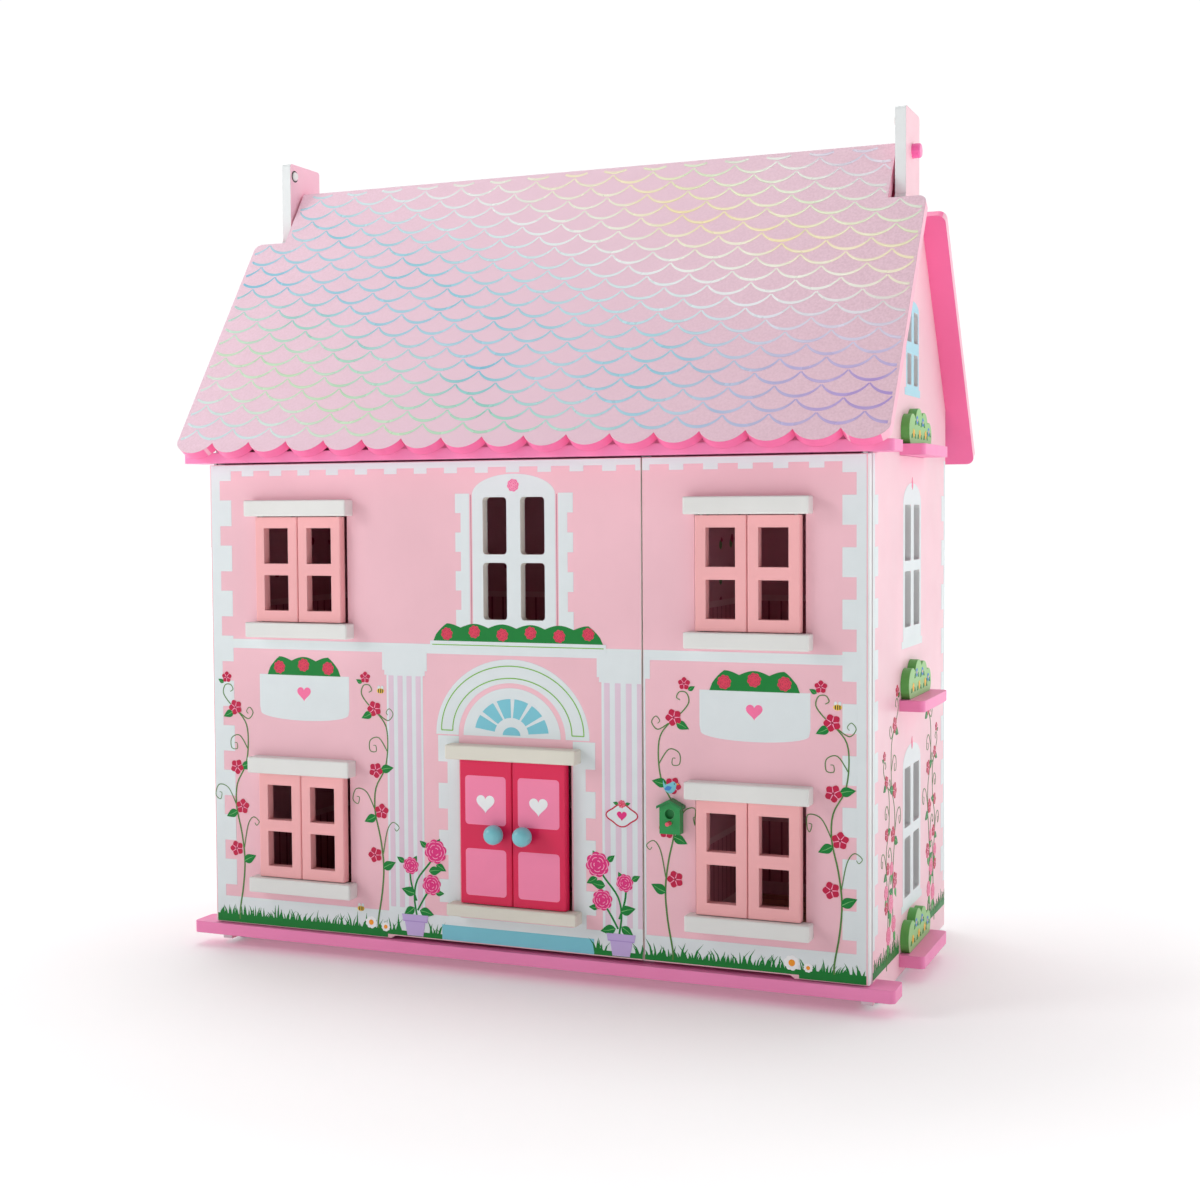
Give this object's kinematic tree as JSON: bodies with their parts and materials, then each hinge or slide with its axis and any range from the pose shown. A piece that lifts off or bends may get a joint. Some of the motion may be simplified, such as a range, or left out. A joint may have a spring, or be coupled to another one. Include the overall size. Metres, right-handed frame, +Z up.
{
  "type": "wooden dollhouse",
  "caption": "Three-storey wooden dollhouse: two hinged front panels with swinging windows and doors, lifting scalloped roof, stairs and bushes at the sides.",
  "frame": {"origin": "on the floor, midway between the side walls and midway between the two eaves", "axes": "+Z up, the openable front faces -Y, +X to the right seen from the front"},
  "size_m": [0.631, 0.3523, 0.7103],
  "materials": {
    "pink_board_edges": "satin paint",
    "printed_side_wall": "printed, satin",
    "printed_back_wall": "printed, satin",
    "papered_partition": "papered, matt",
    "printed_front_panel": "printed, satin",
    "foil_scale_tiles": "printed with iridescent foil",
    "back_roof_tiles": "printed with iridescent foil",
    "hot_pink_dowel": "gloss paint",
    "white_trim": "satin paint",
    "cream_trim": "satin paint",
    "pink_sash": "satin paint",
    "crimson_door": "satin paint, printed",
    "turquoise_knob": "gloss paint",
    "green_bush": "printed, satin",
    "green_birdhouse": "satin paint",
    "white_birdhouse_roof": "satin paint",
    "pink_perch": "satin paint",
    "white_stair": "satin paint",
    "pink_stair_treads": "satin paint",
    "steel_pin": "bright",
    "striker_steel": "bright",
    "magnet_nickel": "nickel plated",
    "white_plastic_glide": "matt",
    "white_plastic_stud": "matt"
  },
  "bodies": {
    "house": {"base_board": "pink_board_edges", "first_floor_board": "pink_board_edges", "attic_floor_board": "pink_board_edges", "side_wall_left": "printed_side_wall", "side_wall_right": "printed_side_wall", "back_wall": "printed_back_wall", "ground_partition": "papered_partition", "first_partition": "papered_partition", "catch_magnets": "magnet_nickel", "panel_hinge_pins": "steel_pin", "glide_feet": "white_plastic_glide", "roof_catch_studs": "white_plastic_stud", "back_roof_panel": "back_roof_tiles", "lower_stair_stringers": "white_stair", "lower_stair_treads": "pink_stair_treads", "upper_stair_stringers": "white_stair", "upper_stair_treads": "pink_stair_treads", "ground_bush_left": "green_bush", "ground_bush_right": "green_bush", "first_bush_left": "green_bush", "first_bush_right": "green_bush", "attic_bush_left": "green_bush", "attic_bush_right": "green_bush"},
    "left_panel": {"front_panel_left": "printed_front_panel", "striker_plates_left": "striker_steel", "leaf_pins_left": "steel_pin", "door_lintel": "cream_trim", "door_sill": "cream_trim", "ground_left_lintel": "white_trim", "ground_left_sill": "white_trim", "first_left_lintel": "white_trim", "first_left_sill": "white_trim"},
    "right_panel": {"front_panel_right": "printed_front_panel", "striker_plates_right": "striker_steel", "leaf_pins_right": "steel_pin", "ground_right_lintel": "white_trim", "ground_right_sill": "white_trim", "first_right_lintel": "white_trim", "first_right_sill": "white_trim", "birdhouse_body": "green_birdhouse", "birdhouse_roof": "white_birdhouse_roof", "birdhouse_perch": "pink_perch"},
    "roof": {"front_roof_panel": "foil_scale_tiles", "ridge_pole": "hot_pink_dowel"},
    "door_left": {"door_leaf_left": "crimson_door", "door_knob_left": "turquoise_knob"},
    "door_right": {"door_leaf_right": "crimson_door", "door_knob_right": "turquoise_knob"},
    "ground_left_sash_left": {"ground_left_sash_left": "pink_sash"},
    "ground_left_sash_right": {"ground_left_sash_right": "pink_sash"},
    "ground_right_sash_left": {"ground_right_sash_left": "pink_sash"},
    "ground_right_sash_right": {"ground_right_sash_right": "pink_sash"},
    "first_left_sash_left": {"first_left_sash_left": "pink_sash"},
    "first_left_sash_right": {"first_left_sash_right": "pink_sash"},
    "first_right_sash_left": {"first_right_sash_left": "pink_sash"},
    "first_right_sash_right": {"first_right_sash_right": "pink_sash"}
  },
  "joints": [
    {"name": "left_panel_hinge", "type": "hinge", "parent": "house", "child": "left_panel", "pos_m": [-0.2905, -0.145, 0.224], "axis": [0, 0, -1], "range_deg": [0, 170]},
    {"name": "right_panel_hinge", "type": "hinge", "parent": "house", "child": "right_panel", "pos_m": [0.2905, -0.145, 0.224], "axis": [0, 0, 1], "range_deg": [0, 170]},
    {"name": "roof_hinge", "type": "hinge", "parent": "house", "child": "roof", "pos_m": [0, 0, 0.67783], "axis": [-1, 0, 0], "range_deg": [0, 150]},
    {"name": "ground_left_sash_left_hinge", "type": "hinge", "parent": "left_panel", "child": "ground_left_sash_left", "pos_m": [-0.23905, -0.15275, 0.113], "axis": [0, 0, -1], "range_deg": [0, 165]},
    {"name": "ground_left_sash_right_hinge", "type": "hinge", "parent": "left_panel", "child": "ground_left_sash_right", "pos_m": [-0.16295, -0.15275, 0.113], "axis": [0, 0, 1], "range_deg": [0, 165]},
    {"name": "ground_right_sash_left_hinge", "type": "hinge", "parent": "right_panel", "child": "ground_right_sash_left", "pos_m": [0.16295, -0.15275, 0.113], "axis": [0, 0, -1], "range_deg": [0, 138]},
    {"name": "ground_right_sash_right_hinge", "type": "hinge", "parent": "right_panel", "child": "ground_right_sash_right", "pos_m": [0.23905, -0.15275, 0.113], "axis": [0, 0, 1], "range_deg": [0, 165]},
    {"name": "first_left_sash_left_hinge", "type": "hinge", "parent": "left_panel", "child": "first_left_sash_left", "pos_m": [-0.23905, -0.15275, 0.335], "axis": [0, 0, -1], "range_deg": [0, 165]},
    {"name": "first_left_sash_right_hinge", "type": "hinge", "parent": "left_panel", "child": "first_left_sash_right", "pos_m": [-0.16295, -0.15275, 0.335], "axis": [0, 0, 1], "range_deg": [0, 165]},
    {"name": "first_right_sash_left_hinge", "type": "hinge", "parent": "right_panel", "child": "first_right_sash_left", "pos_m": [0.16295, -0.15275, 0.335], "axis": [0, 0, -1], "range_deg": [0, 165]},
    {"name": "first_right_sash_right_hinge", "type": "hinge", "parent": "right_panel", "child": "first_right_sash_right", "pos_m": [0.23905, -0.15275, 0.335], "axis": [0, 0, 1], "range_deg": [0, 165]},
    {"name": "door_left_hinge", "type": "hinge", "parent": "left_panel", "child": "door_left", "pos_m": [-0.04325, -0.15275, 0.12], "axis": [0, 0, -1], "range_deg": [0, 145]},
    {"name": "door_right_hinge", "type": "hinge", "parent": "left_panel", "child": "door_right", "pos_m": [0.04325, -0.15275, 0.12], "axis": [0, 0, 1], "range_deg": [0, 145]}
  ]
}
